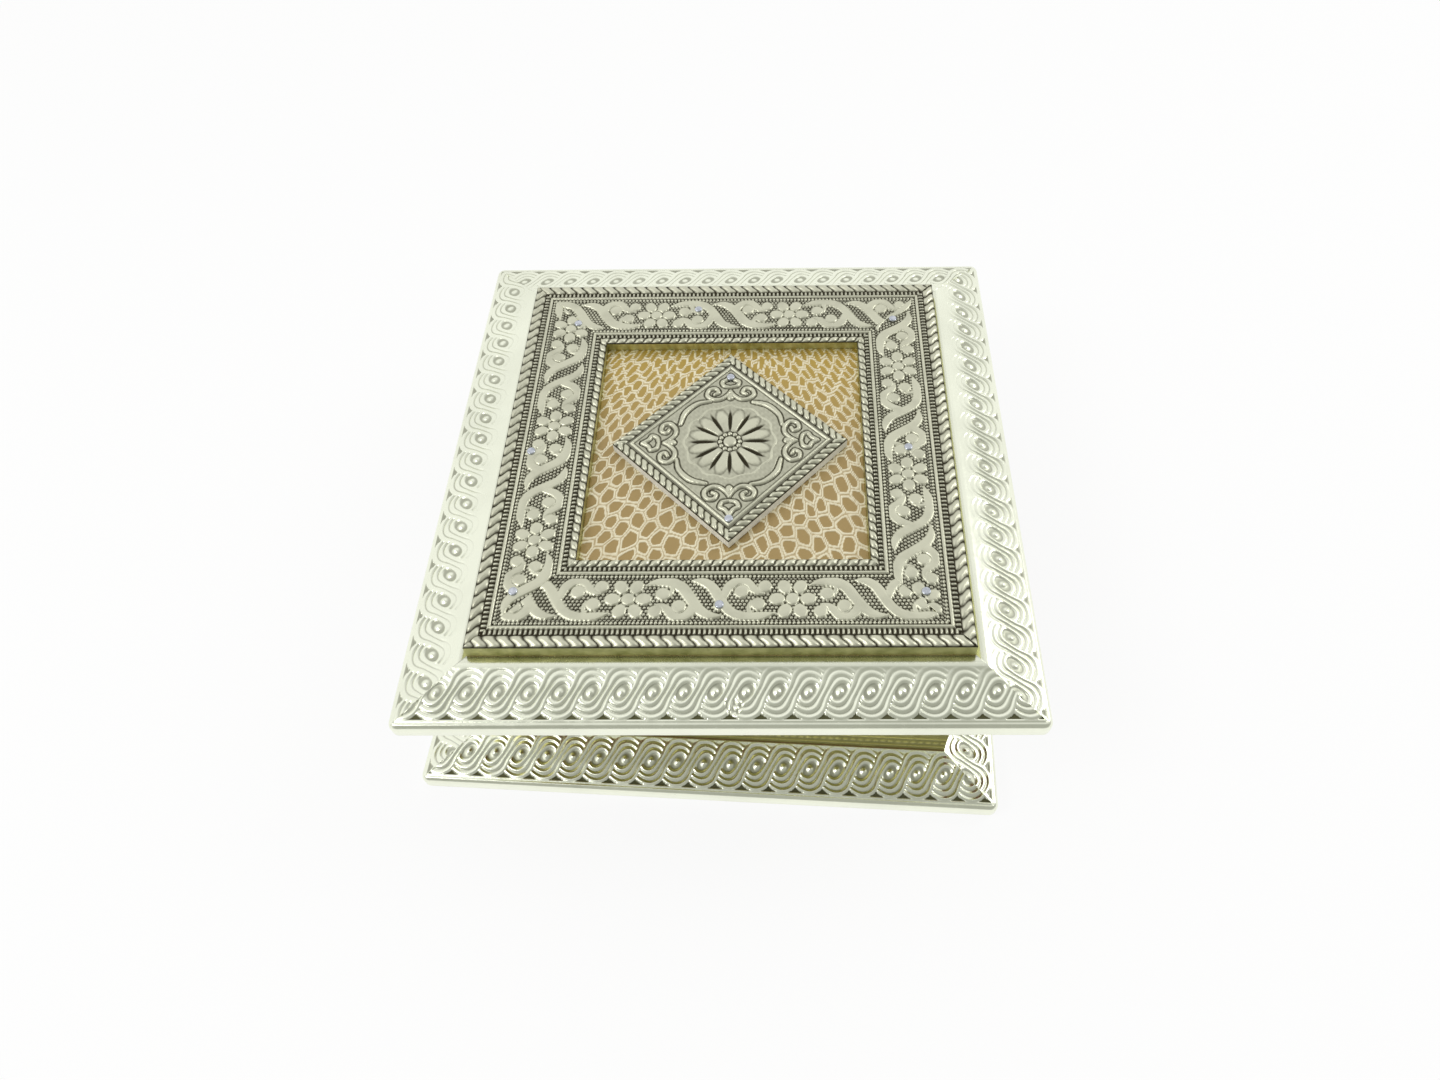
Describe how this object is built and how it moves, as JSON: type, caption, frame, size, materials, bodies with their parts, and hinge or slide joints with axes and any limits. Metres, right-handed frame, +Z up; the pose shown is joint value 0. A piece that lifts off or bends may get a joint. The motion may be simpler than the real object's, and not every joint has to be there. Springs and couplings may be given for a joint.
{
  "type": "dry fruit box",
  "caption": "Square box for dry fruit and nuts with a lift-off lid, divided inside, covered in embossed foil, with a raised ornamental frame and a diamond plaque on the lid.",
  "frame": {"origin": "middle of the underside of the base", "axes": "+Z up, the front of the box looks along -Y, +X to the right seen from the front; the sides of the base lie along X and Y"},
  "size_m": [0.213, 0.213, 0.0781],
  "materials": {
    "plate_foil": "pale silver-cream embossed foil, glossy",
    "wall_foil": "pale olive-gold foil, glossy",
    "oxidised_sheet": "antique silver embossed sheet with dark recesses, satin",
    "frame_edge": "board edge covered in olive-gold foil",
    "plaque_edge": "board edge covered in bright silver foil",
    "panel_sheet": "gold-tan snake-grain leatherette",
    "board": "medium-density fibreboard, bare",
    "batten": "planed softwood, bare",
    "divider": "thin board covered in maroon velvet paper",
    "lining": "maroon velvet paper, matte",
    "nail": "bright domed nails",
    "fastener": "headless steel brads"
  },
  "bodies": {
    "box": {"base_board": "board", "base_brads": "fastener", "base_foil_back": "plate_foil", "base_foil_front": "plate_foil", "base_foil_left": "plate_foil", "base_foil_right": "plate_foil", "base_sheet": "lining", "divider_cross": "divider", "divider_long": "divider", "floor_lining": "lining", "wall_back": "board", "wall_brads": "fastener", "wall_foil_back": "wall_foil", "wall_foil_front": "wall_foil", "wall_foil_left": "wall_foil", "wall_foil_right": "wall_foil", "wall_front": "board", "wall_left": "board", "wall_lining_back": "lining", "wall_lining_front": "lining", "wall_lining_left": "lining", "wall_lining_right": "lining", "wall_right": "board"},
    "lid": {"batten_brads": "fastener", "frame_nails": "nail", "frame_rail_back": "frame_edge", "frame_rail_front": "frame_edge", "frame_rail_left": "frame_edge", "frame_rail_right": "frame_edge", "frame_strip_back": "oxidised_sheet", "frame_strip_front": "oxidised_sheet", "frame_strip_left": "oxidised_sheet", "frame_strip_right": "oxidised_sheet", "lid_batten_back": "batten", "lid_batten_front": "batten", "lid_batten_left": "batten", "lid_batten_right": "batten", "lid_board": "board", "lid_foil_back": "plate_foil", "lid_foil_front": "plate_foil", "lid_foil_left": "plate_foil", "lid_foil_right": "plate_foil", "lid_lining": "lining", "panel_board": "board", "panel_sheet": "panel_sheet", "plaque_block": "plaque_edge", "plaque_nails": "nail", "plaque_sheet": "oxidised_sheet"}
  },
  "joints": [
    {"name": "lid_lift", "type": "slide", "parent": "box", "child": "lid", "axis": [0, 0, 1], "range_m": [0, 0.1]}
  ]
}
